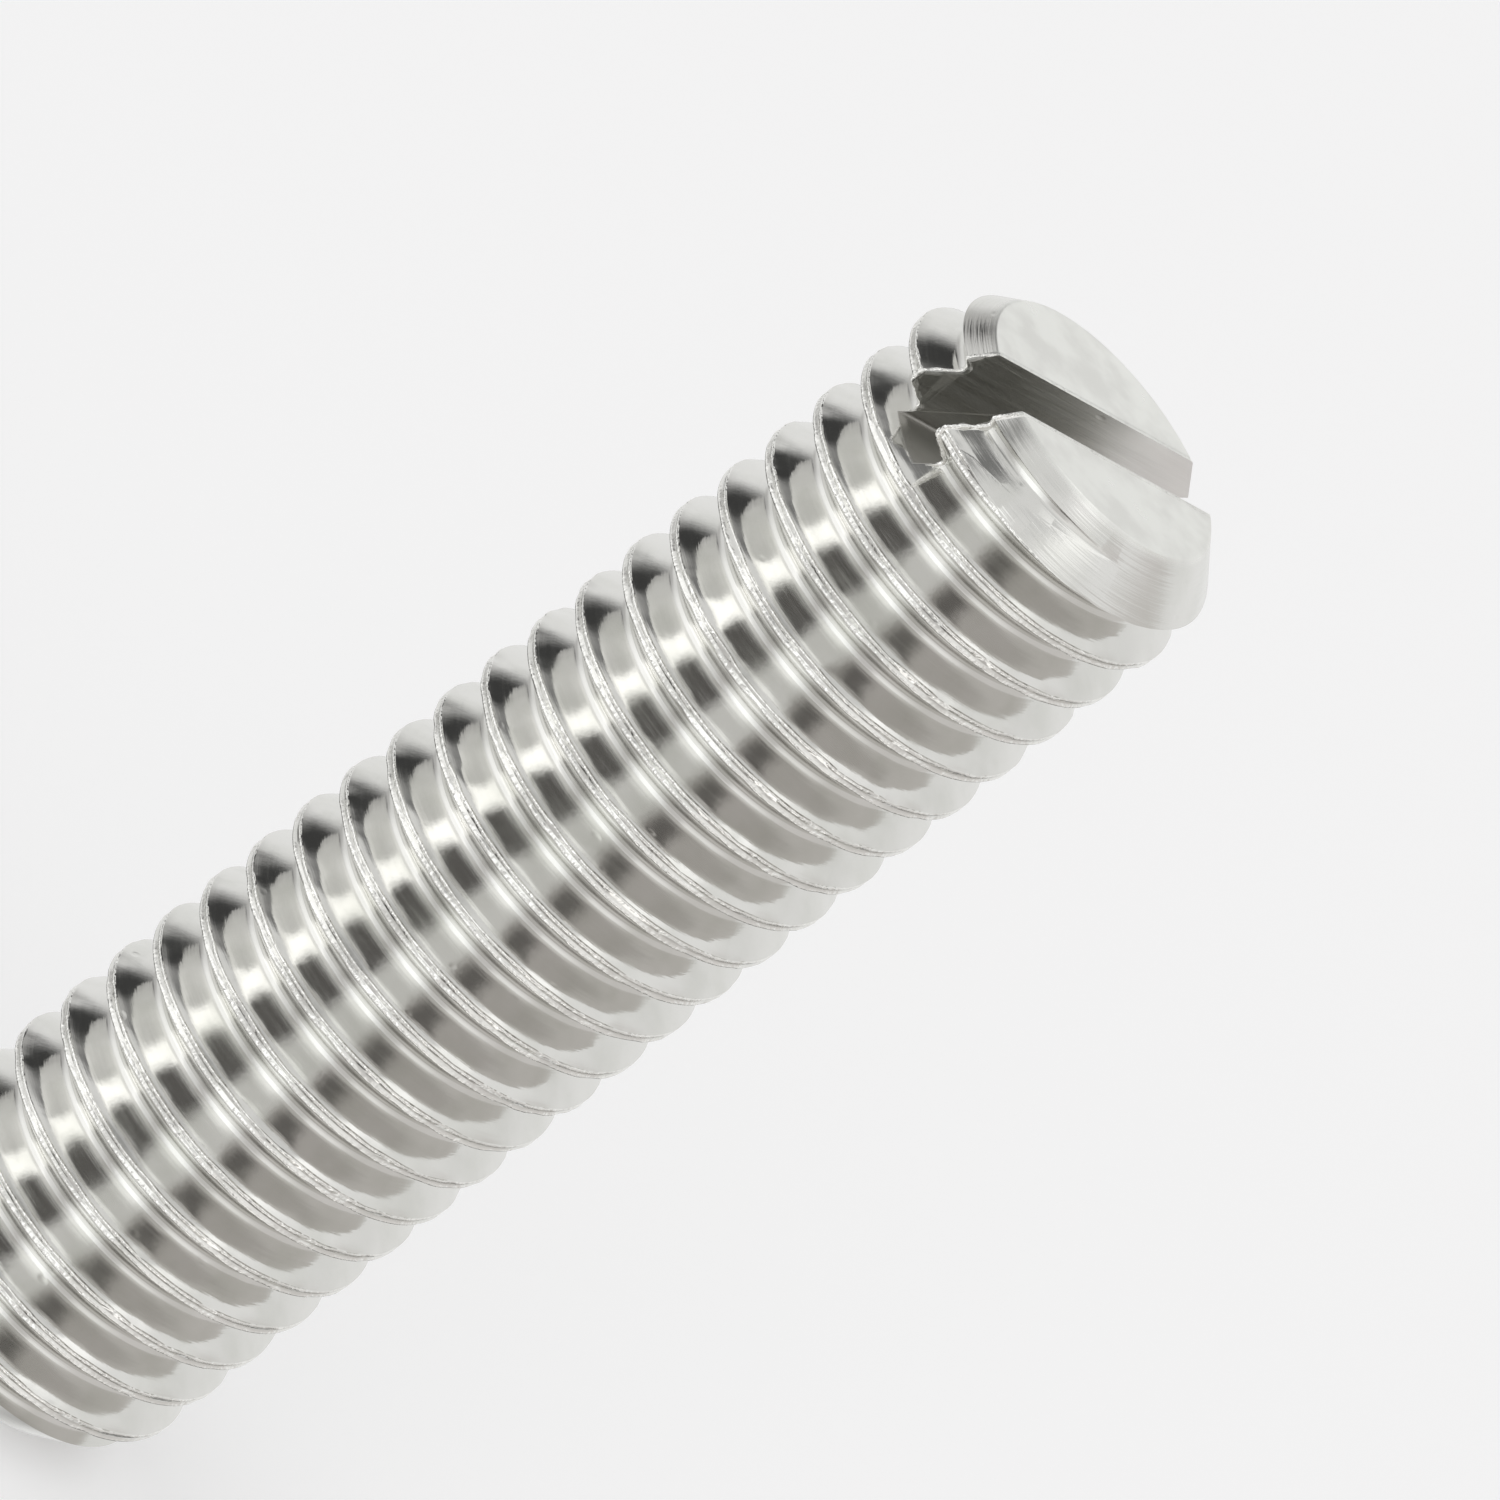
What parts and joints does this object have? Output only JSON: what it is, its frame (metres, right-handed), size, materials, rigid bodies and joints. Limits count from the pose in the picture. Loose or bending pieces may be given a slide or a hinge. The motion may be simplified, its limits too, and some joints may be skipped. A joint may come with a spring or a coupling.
{
  "type": "slotted set screw",
  "caption": "Headless threaded set screw in stainless steel, with a straight driver slot at one end and a bevelled flat point at the other.",
  "frame": {"origin": "centre of the flat point, where the screw's axis meets the surface it stands on", "axes": "+Z along the screw's axis from the flat point to the slotted end, +X along the driver slot"},
  "size_m": [0.0078, 0.0078, 0.03],
  "materials": {
    "stainless_steel": "bright rolled thread with a smooth sheen, fine burrs at the sawn slot"
  },
  "bodies": {
    "root": {"set_screw": "stainless_steel"}
  },
  "joints": []
}
